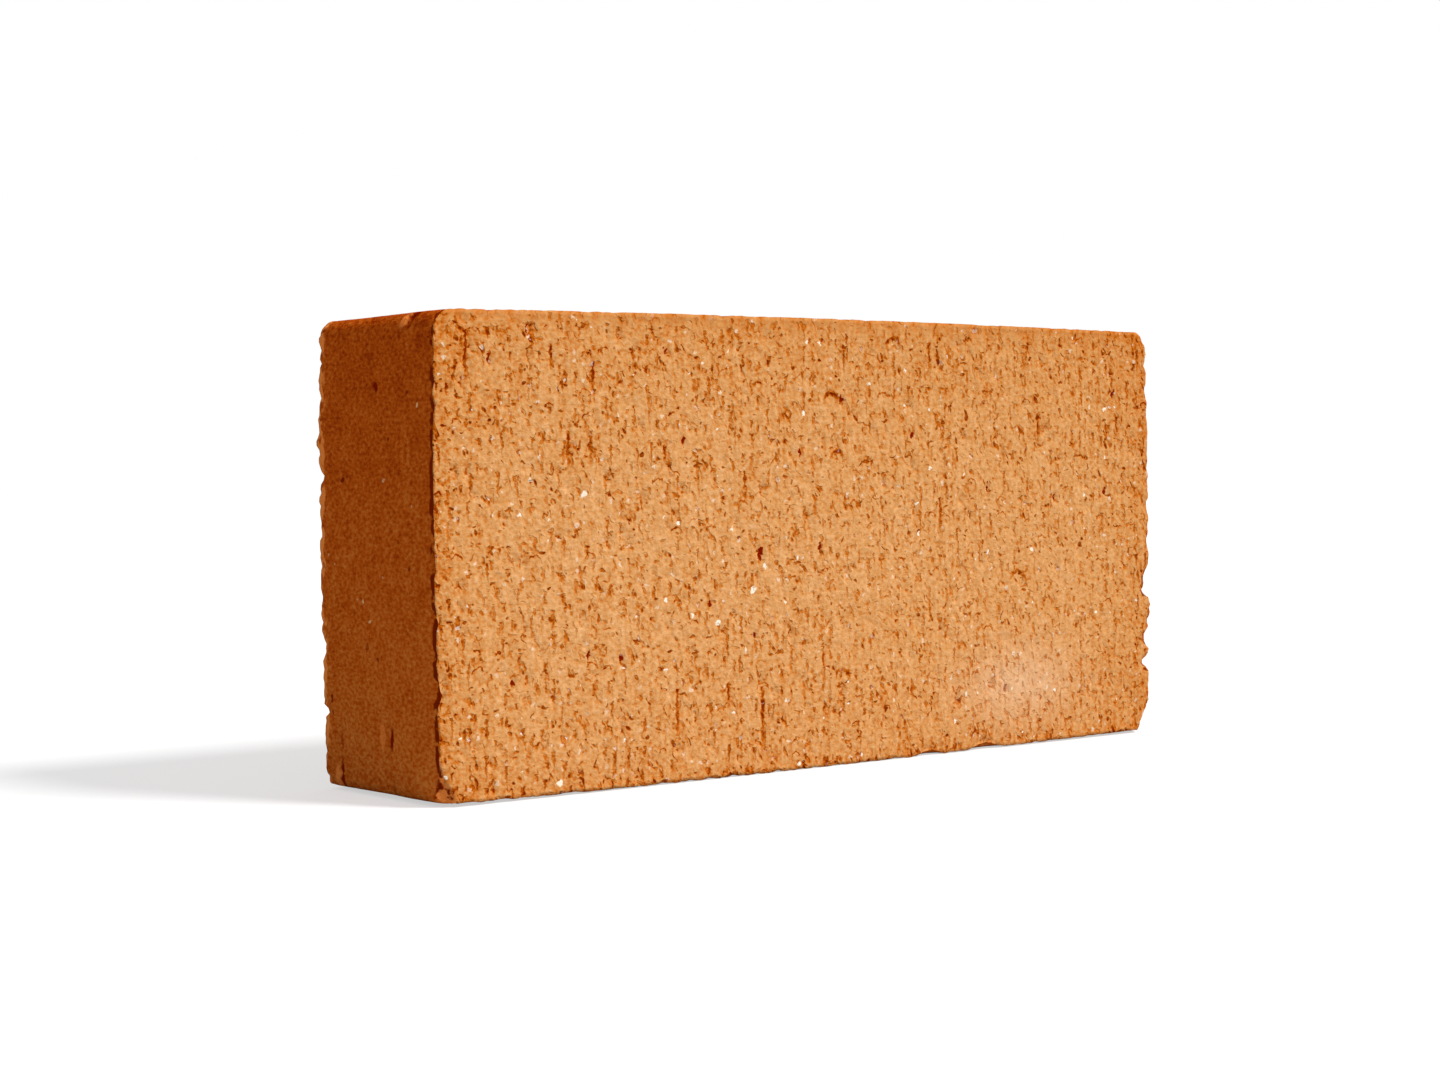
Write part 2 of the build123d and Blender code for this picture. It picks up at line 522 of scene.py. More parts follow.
def cut_relief(x, z, shape, cut):
    """Depth of a wire-cut face below its plane, and how much of each point is pit, from 0 to 1.
    The depth is a broad wave, long fine streaks along the wire's way, and pits, grooves and scales,
    less the crumbs that stand proud."""
    seed = CUT_SEEDS[cut]
    pits = scatter(x, z, PIT_CELLS, seed, strewn_pit)
    grooves = scatter(x, z, GROOVE_CELLS, seed + 2 * SEED_STEP, strewn_groove)
    scales = scatter(x, z, SCALE_CELLS, seed + 3 * SEED_STEP, strewn_scale)
    if cut == 0:
        for place, level, half_width, half_height in FRONT_PITS:
            pits = np.maximum(pits, 1.3 * pit_mark(x - place, z - level, half_width, half_height, LEAN))
        for place, level, length in FRONT_GROOVES:
            grooves = np.maximum(grooves, groove_mark(x - place, z - level, GROOVE_HALF_WIDTH, length))
        for place, level, radius in FRONT_SCALES:
            scales = np.maximum(scales, scale_mark(x - place, z - level, radius))
    crumbs = scatter(x, z, CRUMB_CELLS, seed + 4 * SEED_STEP, strewn_crumb)
    hollow = np.maximum(np.maximum(pits, 0.6 * grooves), 0.7 * scales)
    depth = CUT_SETBACK + waves(x, z, CUT_WAVES, seed + 5 * SEED_STEP)
    return depth + hollow * shape.pit_depth / MM - CRUMB_HEIGHT * crumbs, np.clip(pits, 0, 1)


def die_outline(x, z, shape):
    """Turns a rectangle's corner squares into quarter discs. In a corner square, (a, b) goes to
    (a sqrt(1 - b²/2), b sqrt(1 - a²/2))."""
    radius = np.where(z > MID_HEIGHT, shape.top_radius, shape.base_radius) / MM
    side, level = np.sign(x), np.sign(z - MID_HEIGHT)
    a = np.clip((np.abs(x) - LENGTH / 2) / radius + 1, 0, 1)
    b = np.clip((np.abs(z - MID_HEIGHT) - MID_HEIGHT) / radius + 1, 0, 1)
    return (
        x + side * radius * a * (np.sqrt(1 - b**2 / 2) - 1),
        z + level * radius * b * (np.sqrt(1 - a**2 / 2) - 1),
    )


def crowned(x, z, shape):
    """Bows the outline: each edge draws in by the crown times the square of the distance from its
    middle."""
    crown = shape.crown / MM
    along, up = x / (LENGTH / 2), (z - MID_HEIGHT) / MID_HEIGHT
    return x - crown * along * up**2, z - crown * up * along**2


def nearest_edge(x, z, shape):
    """Distance inside the die's outline, and the way out to the nearest edge as its X and Z parts.
    In a corner the way out runs from the middle of the rounding."""
    radius = np.where(z > MID_HEIGHT, shape.top_radius, shape.base_radius) / MM
    past_x = np.abs(x) - (LENGTH / 2 - radius)
    past_z = np.abs(z - MID_HEIGHT) - (MID_HEIGHT - radius)
    corner_reach = np.hypot(np.maximum(past_x, 0), np.maximum(past_z, 0))
    inside = radius - corner_reach - np.minimum(np.maximum(past_x, past_z), 0)
    flat = (past_x <= 0) & (past_z <= 0)
    out_x = np.where(flat, past_x >= past_z, np.maximum(past_x, 0))
    out_z = np.where(flat, past_x < past_z, np.maximum(past_z, 0))
    size = np.hypot(out_x, out_z)
    return inside, out_x / size * np.sign(x), out_z / size * np.sign(z - MID_HEIGHT)


def scallops(along, length, seed):
    """Rounded teeth of about one length, at random places: the square of the distance from the nearest
    tooth's middle, as a part of half a tooth."""
    cell = np.floor(along / length)
    nearest = np.full_like(along, length)
    for step in (-1, 0, 1):
        middle = (cell + step + 0.9 * cell_random(cell + step, 0 * cell, seed)) * length
        nearest = np.minimum(nearest, np.abs(along - middle))
    return np.minimum((2 * nearest / length) ** 2, 1.8)


def teeth(along, amount, bites, seed):
    """Inset of an arris at places along it: long and short teeth, a fine crumble, and its own bites."""
    strength = 0.7 + 0.6 * smooth_noise(along, 0 * along, TEAR_STRETCH, 1.0, seed)
    inset = 0.2 * amount * (1 + smooth_noise(along, 0 * along, TEAR_CRUMBLE, 1.0, seed + 1))
    for number, (length, share) in enumerate(TOOTH_LENGTHS):
        inset += amount * strength * share * scallops(along, length, seed + 2 + number)
    for place, half_length, depth in bites:
        inset += depth * (1 - smooth_step(0.2, 1.2, np.abs(along - place) / half_length))
    return inset


def torn_arris(x, z, out_x, out_z, shape, cut):
    """Inset of the nearest arris of a cut. Near a corner the two arrises share it by the squares of
    the way out's parts, which add up to 1."""
    inset = {}
    for number, side in enumerate(ARRIS_TEAR):
        along = x if side in ("top", "base") else z
        seed = CUT_SEEDS[cut] + ARRIS_SEEDS + 10 * number
        inset[side] = shape.tear * teeth(along, ARRIS_TEAR[side][cut], BITES[side][cut], seed)
    upright = np.where(out_x > 0, inset["right"], inset["left"])
    level = np.where(out_z > 0, inset["top"], inset["base"])
    return out_x**2 * upright + out_z**2 * level


def cut_face(x, z, shape, cut):
    """A wire-cut face over a grid of X and Z: the cut's plane, sunk by its relief, and near its arrises
    drawn in and sunk by the tearing, which dies out with the bell curve of the distance from the edge."""
    x, z = die_outline(x, z, shape)
    inside, out_x, out_z = nearest_edge(x, z, shape)
    tear = torn_arris(x, z, out_x, out_z, shape, cut)
    relief, pit = cut_relief(x, z, shape, cut)
    near_edge = np.exp(-((inside / DRAWN_REACH) ** 2))
    sunk = SUNK_SHARE * tear * np.exp(-((inside / SUNK_REACH) ** 2))
    depth = relief * smooth_step(-0.3, 1.5, inside) + sunk
    outward = -1 if cut == 0 else 1
    y = outward * (THICKNESS / 2 - depth)
    x, z = x - out_x * tear * near_edge, z - out_z * tear * near_edge
    torn = np.exp(-((inside / TORN_REACH) ** 2))
    return np.stack([*crowned(x, z, shape), y], axis=-1)[..., [0, 2, 1]], pit, torn


def skin_band(x, z, along, shape):
    """The die skin between the cuts, as rings of points round the outline. Each point is drawn in by the
    tearing of both arrises, which dies out with the bell curve of the distance from the cut, by shallow
    waves and pits, and by the marks of the left end. Gives the points, and how much of each is pit, torn
    clay of the back arris, whose bright tint is partly painted light, and dark lip of the front one, which
    is painted shade."""
    depth = np.array(RING_DEPTHS)
    y = np.concatenate([depth - THICKNESS / 2, [0.0], (THICKNESS / 2 - depth)[::-1]])[:, None]
    x, z, along, y = np.broadcast_arrays(x[None, :], z[None, :], along[None, :], y)
    _, out_x, out_z = nearest_edge(x, z, shape)
    from_front, from_back = y + THICKNESS / 2, THICKNESS / 2 - y
    tear = torn_arris(x, z, out_x, out_z, shape, 0) * np.exp(-((from_front / SKIN_REACH) ** 2))
    tear = tear + torn_arris(x, z, out_x, out_z, shape, 1) * np.exp(-((from_back / SKIN_REACH) ** 2))
    pit = SKIN_PIT_STRENGTH * scatter(y, along, SKIN_PIT_CELLS, SKIN_SEED, strewn_pit)
    marks, flaps = np.zeros_like(pit), np.zeros_like(pit)
    for heights, ovals in ((marks, END_MARKS), (flaps, END_FLAPS)):
        for place, level, half_width, half_height, height in ovals:
            reach = np.hypot((y - place) / half_width, (z - level) / half_height)
            np.maximum(heights, height * (1 - smooth_step(0.2, 1.15, reach)), out=heights)
    on_left, on_top = smooth_step(0.3, 0.6, -out_x), smooth_step(0.3, 0.6, out_z)
    inset = tear + SKIN_SETBACK + waves(y, along, SKIN_WAVES, SKIN_SEED + SEED_STEP)
    inset = inset + SKIN_PIT_DEPTH * pit + (marks - flaps) * on_left
    # Torn clay of the back arris; its bright bare tint is partly painted light.
    torn = np.exp(-((from_back / TORN_REACH) ** 2))
    # Painted shade: a dark lip along the front arris of the left end and, weaker, along the top.
    painted_shade_lip = np.exp(-(((from_front - SHADE_LIP_INSET) / SHADE_LIP_REACH) ** 2)) * np.maximum(on_left, TOP_SHADE_LIP * on_top)
    x, z = crowned(x - out_x * inset, z - out_z * inset, shape)
    return np.stack([x, y, z], axis=-1), pit, torn, painted_shade_lip


def broken_corner(points, end, runs):
    """Knocks off a front corner of the base: a point beyond the plane through the three runs goes
    straight back to that plane, and a little further where the break is rough. Gives the points, and how
    much of each is break, from 0 to 1."""
    side = np.sign(end)
    outward = np.array([side / runs[0], -1 / runs[1], -1 / runs[2]])
    outward /= np.linalg.norm(outward)
    on_plane = np.array([end, -THICKNESS / 2, runs[2]])
    beyond = np.maximum((points - on_plane) @ outward, 0)
    around = points[:, 0] - points[:, 1]
    rough = waves(around, points[:, 2], BREAK_WAVES, SKIN_SEED + 3 * SEED_STEP)
    broken = smooth_step(0.0, 0.3, beyond)
    return points - (beyond + BREAK_DEPTH * broken * (1 + rough))[:, None] * outward, broken


def brick_surface(shape):
    """Points, four-sided faces and masks of the closed brick: a grid over each cut, and rings of die
    skin that share the rims of both grids."""
    columns = np.linspace(-LENGTH / 2, LENGTH / 2, shape.columns + 1)
    rows = np.linspace(0, HEIGHT, shape.rows + 1)
    x, z = np.meshgrid(columns, rows)
    front, front_pit, front_torn = cut_face(x, z, shape, 0)
    back, back_pit, back_torn = cut_face(x, z, shape, 1)

    index = np.arange(x.size).reshape(x.shape)
    rim = np.concatenate([index[0, :-1], index[:-1, -1], index[-1, :0:-1], index[:0:-1, 0]])
    outline_x, outline_z = (axis.ravel()[rim] for axis in die_outline(x, z, shape))
    steps = np.hypot(np.diff(outline_x, append=outline_x[0]), np.diff(outline_z, append=outline_z[0]))
    along = np.cumsum(steps) - steps
    band, band_pit, band_torn_and_lit, band_shade_lip = skin_band(outline_x, outline_z, along, shape)

    rings = 2 * x.size + np.arange(band.shape[0] * rim.size).reshape(band.shape[:2])
    rings = np.vstack([rim, rings, rim + x.size])
    around = np.roll(rings, -1, axis=1)
    quads = np.stack([index[:-1, :-1], index[:-1, 1:], index[1:, 1:], index[1:, :-1]], axis=-1)
    quads = quads.reshape(-1, 4)
    skin_quads = np.stack([rings[:-1], rings[1:], around[1:], around[:-1]], axis=-1).reshape(-1, 4)
    faces = np.concatenate([quads, quads[:, ::-1] + x.size, skin_quads])

    points = np.concatenate([front.reshape(-1, 3), back.reshape(-1, 3), band.reshape(-1, 3)])
    points, right_break = broken_corner(points, LENGTH / 2, RIGHT_CORNER_RUNS)
    points, left_break = broken_corner(points, -LENGTH / 2, LEFT_CORNER_RUNS)
    torn = np.concatenate([front_torn.ravel(), back_torn.ravel(), band_torn_and_lit.ravel()])
    cut = np.concatenate([np.ones(2 * x.size), np.zeros(band[..., 0].size)])
    place, level, half_width, half_height = BLOOM_PATCH
    spread = np.hypot((points[:, 0] - place) / half_width, (points[:, 2] - level) / half_height)
    bloom = cut * (points[:, 1] < 0) * np.exp(-(spread**2))
    along, up = points[:, 0] / (LENGTH / 2), (points[:, 2] - MID_HEIGHT) / MID_HEIGHT
    near_ends = np.exp(-(((LENGTH / 2 - np.abs(points[:, 0])) / END_REACH) ** 2))
    smooth_top = 1 - SMOOTH_TOP * np.exp(-(((HEIGHT - points[:, 2]) / SMOOTH_REACH) ** 2))
    shade = SHADE_LEVEL - SHADE_ROUND * up**2 - SHADE_UP * up - SHADE_ALONG * along
    masks = {
        "cut": cut,
        "pit": np.concatenate([front_pit.ravel(), back_pit.ravel(), band_pit.ravel()]),
        "torn": torn,
        "broken": np.maximum(right_break, left_break),
        "shade": shade - SHADE_ENDS * near_ends,
        "drag": (DRAG_LEVEL - DRAG_ALONG * along) * smooth_top * (1 - BLOOM_COVER * bloom),
        "painted_shade_lip": np.concatenate([np.zeros(2 * x.size), band_shade_lip.ravel()]),
        "bloom": bloom,
    }
    return points, faces, masks


def closed_mesh(name, points, faces, masks):
    """A smooth mesh of four-sided faces, given its points in millimetres and a mask value at each point."""
    mesh = bpy.data.meshes.new(name)
    mesh.vertices.add(len(points))
    mesh.vertices.foreach_set("co", (points * MM).astype(np.float32).ravel())
    mesh.loops.add(faces.size)
    mesh.loops.foreach_set("vertex_index", faces.astype(np.int32).ravel())
    mesh.polygons.add(len(faces))
    mesh.polygons.foreach_set("loop_start", np.arange(0, faces.size, 4, dtype=np.int32))
    mesh.polygons.foreach_set("use_smooth", np.ones(len(faces), dtype=bool))
    for mask, values in masks.items():
        mesh.attributes.new(mask, "FLOAT", "POINT").data.foreach_set("value", values.astype(np.float32))
    mesh.update(calc_edges=True)
    if mesh.validate():
        raise RuntimeError(f"{name}: the mesh had faulty faces")
    return mesh


def add_node(tree, kind, inputs=None, **settings):
    """Adds a shader node of a kind with its settings, and gives its outputs. Each input takes a number,
    a vector, a colour or the socket that feeds it."""
    made = tree.nodes.new("ShaderNode" + kind)
    for name, value in settings.items():
        setattr(made, name, value)
    for name, value in (inputs or {}).items():
        if isinstance(value, bpy.types.NodeSocket):
            tree.links.new(value, made.inputs[name])
        else:
            made.inputs[name].default_value = value
    return made.outputs


def total(node, start, *parts):
    """The start plus each part times its weight."""
    for part, weight in parts:
        start = node("Math", {0: part, 1: weight, 2: start}, operation="MULTIPLY_ADD")[0]
    return start


def strongest(node, *masks):
    """The largest of several masks."""
    most = masks[0]
    for mask in masks[1:]:
        most = node("Math", {0: most, 1: mask}, operation="MAXIMUM")[0]
    return most


def overlap(node, *masks):
    """The product of several masks, which is strong only where all of them are."""
    shared = masks[0]
    for mask in masks[1:]:
        shared = node("Math", {0: shared, 1: mask}, operation="MULTIPLY")[0]
    return shared


def layered(node, body, colour, layers):
    """A body colour with tints laid over it, one after another, each as strong as its mask."""
    for mask, tint in layers:
        body = node("Mix", {0: mask, 6: body, 7: colour[tint]}, data_type="RGBA")[2]
    return body


def toned(node, tone, body, colour, tints):
    """A body colour, tinted by its tone. Each tint starts at one tone and is full at another."""
    layers = [
        (node("MapRange", {0: tone, 1: start, 2: full})[0], tint) for tint, (start, full) in tints.items()
    ]
    return layered(node, colour[body], colour, layers)


def oval(node, place, middle, level, half_width, half_height):
    """Distance from the middle of an oval, as a part of its half width and half height: 1 at its rim."""
    size = (1 / half_width, 1 / half_height, 0)
    shift = (-middle / half_width, -level / half_height, 0)
    away = node("VectorMath", {0: place, 1: size, 2: shift}, operation="MULTIPLY_ADD")[0]
    return node("VectorMath", {0: away}, operation="LENGTH")["Value"]


def upper_arc(node, far, radius, edge, z, low, high):
    """The upper part of a ring, as a mask. The ring lies where the distance from its middle is its radius,
    has a soft edge, and comes up between a low and a high level."""
    off = node("Math", {0: far, 1: radius}, operation="SUBTRACT")[0]
    off = node("Math", {0: off}, operation="ABSOLUTE")[0]
    ring = node("MapRange", {0: off, 1: edge[0], 2: edge[1]})[0]
    upper = node("MapRange", {0: z, 1: low, 2: high})[0]
    return overlap(node, ring, upper)


def speckle(node, place, size, detail=2.0):
    """Random clouds about 0 with a usual spread of 1, in two or three dimensions. The size is that of the
    largest lumps along each axis."""
    steps = [1 / length for length in size] + [1.0]
    scaled = node("VectorMath", {0: place, 1: steps[:3]}, operation="MULTIPLY")[0]
    noise = {"Vector": scaled, "Scale": 1.0, "Detail": detail, "Roughness": 0.55}
    cloud = node("TexNoise", noise, noise_dimensions=f"{len(size)}D")["Fac"]
    spread = NOISE_SPREAD[len(size)]
    return total(node, -0.5 / spread, (cloud, 1 / spread))


def strewn_cells(node, place, cell, start):
    """Cells strewn over a plane, one mark to each: the place is measured in cells from a start of its
    own. Gives the place in cells and the outputs of the pattern."""
    size = (1 / cell[0], 1 / cell[1], 0)
    scaled = node("VectorMath", {0: place, 1: size, 2: (start, start, 0)}, operation="MULTIPLY_ADD")[0]
    return scaled, node("TexVoronoi", {"Vector": scaled, "Scale": 1.0}, voronoi_dimensions="2D")


def strewn_spots(node, place, cell, start, share, radius, edge):
    """Round marks, stretched as their cells are, as a mask and a random tone. Only a share of the cells
    has one, with a random radius up to the given part of the cell."""
    _, cells = strewn_cells(node, place, cell, start)
    pick, tone, _ = node("SeparateColor", {0: cells["Color"]})
    reach = node("MapRange", {0: pick, 1: 1 - share, 2: 1.0, 3: 0.0, 4: radius})[0]
    inside = node("Math", {0: reach, 1: cells["Distance"]}, operation="SUBTRACT")[0]
    return node("MapRange", {0: inside, 1: 0.0, 2: edge}, interpolation_type="SMOOTHSTEP")[0], tone


def strewn_offsets(node, place, cell, start, share):
    """Offsets in millimetres from the middle of the nearest strewn mark, a random size from 0 to 1, and
    a random strength, which is 0 where the cell has no mark."""
    scaled, cells = strewn_cells(node, place, cell, start)
    away = node("VectorMath", {0: scaled, 1: cells["Position"]}, operation="SUBTRACT")[0]
    away = node("VectorMath", {0: away, 1: (*cell, 0)}, operation="MULTIPLY")[0]
    pick, size, _ = node("SeparateColor", {0: cells["Color"]})
    return away, size, node("MapRange", {0: pick, 1: 1 - share, 2: 1 - 0.5 * share})[0]


def drag_lines(node, place, lines):
    """Drag lines, as a mask: straight and upright, widest and darkest at the top end, where a grain was
    torn out, and thinning to nothing at the foot. The longest are nearly as long as a cell is high."""
    away, size, strength = strewn_offsets(node, place, *lines)
    x, z, _ = node("SeparateXYZ", {0: away})
    high = lines[0][1]
    length = node("MapRange", {0: size, 3: LINE_LENGTHS[0] * high, 4: LINE_LENGTHS[1] * high})[0]
    above = node("Math", {0: z, 1: length}, operation="DIVIDE")[0]
    aside = node("Math", {0: x}, operation="ABSOLUTE")[0]
    inside = total(node, LINE_HALF_WIDTH, (above, LINE_TAPER), (aside, -1.0))
    line = node("MapRange", {0: inside, 1: 0.0, 2: LINE_EDGE, 4: LINE_STRENGTH})[0]
    fade = node("MapRange", {0: above, 1: -0.5, 2: 0.1})[0]
    hung = node("MapRange", {0: above, 1: 0.5, 2: 0.45})[0]
    return overlap(node, line, hung, fade, strength)


def torn_arcs(node, place):
    """Torn arcs, as a mask: the upper parts of rings of random radius."""
    away, size, strength = strewn_offsets(node, place, *TORN_ARCS)
    _, z, _ = node("SeparateXYZ", {0: away})
    radius = node("MapRange", {0: size, 3: ARC_RADII[0], 4: ARC_RADII[1]})[0]
    far = node("VectorMath", {0: away}, operation="LENGTH")["Value"]
    return overlap(node, upper_arc(node, far, radius, ARC_EDGE, z, 0.0, ARC_RISE), strength)


def crumbled(node, plane):
    """The place on a plane, shifted at random by about a grain, so that marks drawn there are ragged."""
    cloud = {"Vector": plane, "Scale": 1 / CRUMBLE_SIZE, "Detail": 2.0}
    cloud = node("TexNoise", cloud, noise_dimensions="2D")["Color"]
    shift = node("VectorMath", {0: cloud, 1: (0.5, 0.5, 0.5)}, operation="SUBTRACT")[0]
    reach = (CRUMBLE_REACH, CRUMBLE_REACH, 0)
    return node("VectorMath", {0: shift, 1: reach, 2: plane}, operation="MULTIPLY_ADD")[0]


def front_pits(node, place):
    """The front cut's own deep pits, as a mask of ovals with wide soft rims."""
    marks = []
    for middle, *pit in FRONT_PITS:
        away = oval(node, place, middle - CUT_STRETCH, *pit)
        marks.append(node("MapRange", {0: away, 1: PIT_EDGE[0], 2: PIT_EDGE[1]})[0])
    return strongest(node, *marks)


def front_grooves(node, place):
    """The front cut's own grooves and scales, as a mask: upright lines that fade downwards, and upper
    parts of rings."""
    x, z, _ = node("SeparateXYZ", {0: place})
    marks = []
    for middle, top, length in FRONT_GROOVES:
        aside = node("Math", {0: x, 1: CUT_STRETCH - middle}, operation="ADD")[0]
        aside = node("Math", {0: aside}, operation="ABSOLUTE")[0]
        line = node("MapRange", {0: aside, 1: GROOVE_EDGE[0], 2: GROOVE_EDGE[1]})[0]
        fade = node("MapRange", {0: z, 1: top - length, 2: top - 0.4 * length, 4: 1.1})[0]
        hung = node("MapRange", {0: z, 1: top + 0.4, 2: top})[0]
        marks.append(overlap(node, line, hung, fade))
    for middle, level, radius in FRONT_SCALES:
        centre = (middle - CUT_STRETCH, level, 0)
        far = node("VectorMath", {0: place, 1: centre}, operation="DISTANCE")["Value"]
        low, high = level - 0.3 * radius, level + 0.5 * radius
        marks.append(upper_arc(node, far, radius, SCALE_EDGE, z, low, high))
    return strongest(node, *marks)


def fine_tears(node, plane, rough):
    """The wire's fine tears, as a mask: level nicks where a flat cloud is strongest, leaning dashes where
    a drawn-out cloud is strongest, and hooks on short pieces of another cloud's zero lines. Rough places
    have more of all of them. Most are faint and a few are strong."""
    x, z, _ = node("SeparateXYZ", {0: plane})
    leaned = node("CombineXYZ", {0: total(node, x, (z, LEAN)), 1: z})[0]
    marks = ((plane, NICK_SIZE), (leaned, LEANING_SIZE))
    clouds = [total(node, speckle(node, where, size, 1.0), (rough, ROUGH_NICKS)) for where, size in marks]
    tears = [node("MapRange", {0: cloud, 1: NICK_ONSET[0], 2: NICK_ONSET[1]})[0] for cloud in clouds]
    line = node("Math", {0: speckle(node, plane, HOOK_SIZE, 1.0)}, operation="ABSOLUTE")[0]
    line = node("MapRange", {0: line, 1: HOOK_EDGE[0], 2: HOOK_EDGE[1]})[0]
    piece = total(node, speckle(node, plane, HOOK_PIECE, 1.0), (rough, ROUGH_HOOKS))
    piece = node("MapRange", {0: piece, 1: HOOK_ONSET[0], 2: HOOK_ONSET[1]})[0]
    tears = strongest(node, *tears, overlap(node, line, piece))
    strength = speckle(node, plane, CUT_STRONG, 1.0)
    strength = node("MapRange", {0: strength, 1: 0.0, 2: 1.6, 3: 0.45, 4: 1.0})[0]
    return overlap(node, tears, strength)


def cut_clay(node, colour, plane, masks):
    """Colour and height of a wire-cut face. One tone runs from rust through orange and clay to pale: the
    sand's grain, broader patches and the shade move it both ways, and all tears and torn arrises darken it.
    In the tears that dark is iron stain and painted shade together. The deepest pits are hollow, which is
    painted shade, and lime bloom and white grains lie on top; the cream grains are also painted highlights
    of lit lips."""
    grain = overlap(node, speckle(node, plane, CUT_GRAIN), masks["drag"])
    mottle = speckle(node, plane, CUT_MOTTLE)
    rough = speckle(node, plane, CUT_ROUGH)
    fine = fine_tears(node, plane, rough)
    place = crumbled(node, plane)
    pit = total(node, masks["pit"], (grain, -0.15))
    pit = node("MapRange", {0: pit, 1: PIT_ONSET[0], 2: PIT_ONSET[1], 4: 0.7})[0]
    deep = total(node, front_pits(node, place), (grain, 0.14))
    deep = node("MapRange", {0: deep, 1: DEEP_ONSET[0], 2: DEEP_ONSET[1]})[0]
    lines = strongest(node, *[drag_lines(node, place, cells) for cells in (LONG_LINES, SHORT_LINES)])
    tears = strongest(node, fine, lines, torn_arcs(node, place), front_grooves(node, place), pit, deep)
    tears = overlap(node, tears, masks["drag"])
    parts = {
        "grain": grain, "mottle": mottle, "streak": speckle(node, plane, CUT_STREAK, 1.0), "rough": rough,
        "shade": masks["shade"], "tears": tears, "torn": masks["torn"],
    }
    # Tears take the tone down towards rust: iron stain together with painted shade in their hollows.
    tone = total(node, CUT_TONE, *((parts[name], weight) for name, weight in CUT_TONE_PARTS.items()))
    body = toned(node, tone, "clay", colour, CUT_TINTS)
    # Painted shade at the bottoms of the deepest pits.
    hollow = node("MapRange", {0: deep, 1: 0.5, 2: 1.0})[0]
    dusty = node("MapRange", {0: tone, 1: 0.2, 2: 0.6, 3: 0.1, 4: 0.85})[0]
    lime = overlap(node, masks["bloom"], dusty)

    # Faint cream grains, partly painted highlights of lit lips.
    cream_and_highlights, cream_tone = strewn_spots(node, place, *CREAM_AND_HIGHLIGHTS)
    faint = node("MapRange", {0: cream_tone, 3: 0.1, 4: 0.55})[0]
    whites = [overlap(node, cream_and_highlights, faint), strewn_spots(node, place, *QUARTZ)[0]]
    for middle, level, radius in FRONT_FLAKES:
        away = oval(node, place, middle - CUT_STRETCH, level, radius, radius)
        whites.append(node("MapRange", {0: away, 1: 1.0, 2: 0.7})[0])
    layers = [(hollow, "hollow"), (lime, "bloom"), (strongest(node, *whites), "quartz")]
    body = layered(node, body, colour, layers)
    sunk = strongest(node, fine, lines)
    height = total(node, 0.0, (grain, CUT_GRAIN_RISE), (mottle, CUT_MOTTLE_RISE), (sunk, -TEAR_DEPTH))
    return body, height


def left_end(node, place):
    """Y and Z on the left end, crumbled. Everywhere else Y is far off, beyond all marks of that end."""
    x, y, z = node("SeparateXYZ", {0: place})
    beyond = node("Math", {0: x, 1: END_DEPTH - LENGTH / 2}, operation="GREATER_THAN")[0]
    return crumbled(node, node("CombineXYZ", {0: total(node, y, (beyond, FAR_OFF)), 1: z})[0])


def end_ovals(node, flat, ovals, full):
    """Ovals on the left end, as a mask. An oval as high or deep as the full height has its full
    strength."""
    marks = []
    for *place, height in ovals:
        away = oval(node, flat, *place)
        strength = min(height / full, 1.0)
        marks.append(node("MapRange", {0: away, 1: END_EDGE[0], 2: END_EDGE[1], 4: strength})[0])
    return strongest(node, *marks)


def die_skin(node, colour, place, masks):
    """Colour and height of the die skin: closed and deep, with a fine grain and cloudy patches, and a
    little paler towards the base, which is painted floor-bounce light. It has a few sand grains and dark
    pits, bare clay in clumps along the back arris, bright partly as painted light, a dark line along the
    front one, which is painted shade, and the flaps, slits and pale grains of the left end, where the dark
    of the dents and slits is painted shade."""
    grain = speckle(node, place, SKIN_GRAIN, 3.0)
    cloud = speckle(node, place, SKIN_CLOUD)
    clump = speckle(node, place, SKIN_CLUMP)
    _, _, z = node("SeparateXYZ", {0: place})
    # The tone falls with height: painted floor-bounce light, paler towards the base and darker on top.
    parts = {"grain": grain, "cloud": cloud, "height": z}
    tone = total(node, SKIN_TONE, *((parts[name], weight) for name, weight in SKIN_TONE_PARTS.items()))
    skin = toned(node, tone, "skin", colour, SKIN_TINTS)

    sand = node("TexVoronoi", {"Vector": place, "Scale": 1 / SAND_CELL})
    pick, _, _ = node("SeparateColor", {0: sand["Color"]})
    reach = node("MapRange", {0: pick, 1: 1 - SAND_SHARE, 2: 1.0, 3: 0.0, 4: SAND_RADIUS})[0]
    inside = node("Math", {0: reach, 1: sand["Distance"]}, operation="SUBTRACT")[0]
    sandy = node("MapRange", {0: inside, 1: 0.0, 2: SAND_EDGE, 3: 0.0, 4: SAND_STRENGTH})[0]
    layers = [(sandy, "clay_pale")]
    ragged = total(node, 0.85, (clump, 0.4))
    # Bare clay on the torn back arris is partly painted light; the rust and shade tint is painted shade on
    # the lip and darkens the skin's pits.
    for mask, tint in (("torn", "bare_and_lit"), ("painted_shade_lip", "rust_and_shade"), ("pit", "rust_and_shade")):
        amount = overlap(node, masks[mask], ragged)
        layers.append((node("MapRange", {0: amount, 1: RAGGED_ONSET[0], 2: RAGGED_ONSET[1]})[0], tint))
    flat = left_end(node, place)
    layers += [(end_ovals(node, flat, ovals, full), tint) for ovals, full, tint in END_TINTS]
    return layered(node, skin, colour, layers), total(node, 0.0, (grain, SKIN_GRAIN_RISE))


def fresh_break(node, colour, place):
    """Colour of the broken corners: lumps of bright bare clay, partly painted light on faces turned from
    the key lamp, with rust and painted shade in the cracks between them.
    """
    lump = speckle(node, place, BREAK_LUMP)
    lump = node("MapRange", {0: lump, 1: LUMP_ONSET[0], 2: LUMP_ONSET[1]})[0]
    return node("Mix", {0: lump, 6: colour["rust_and_shade"], 7: colour["bare_and_lit"]}, data_type="RGBA")[2]


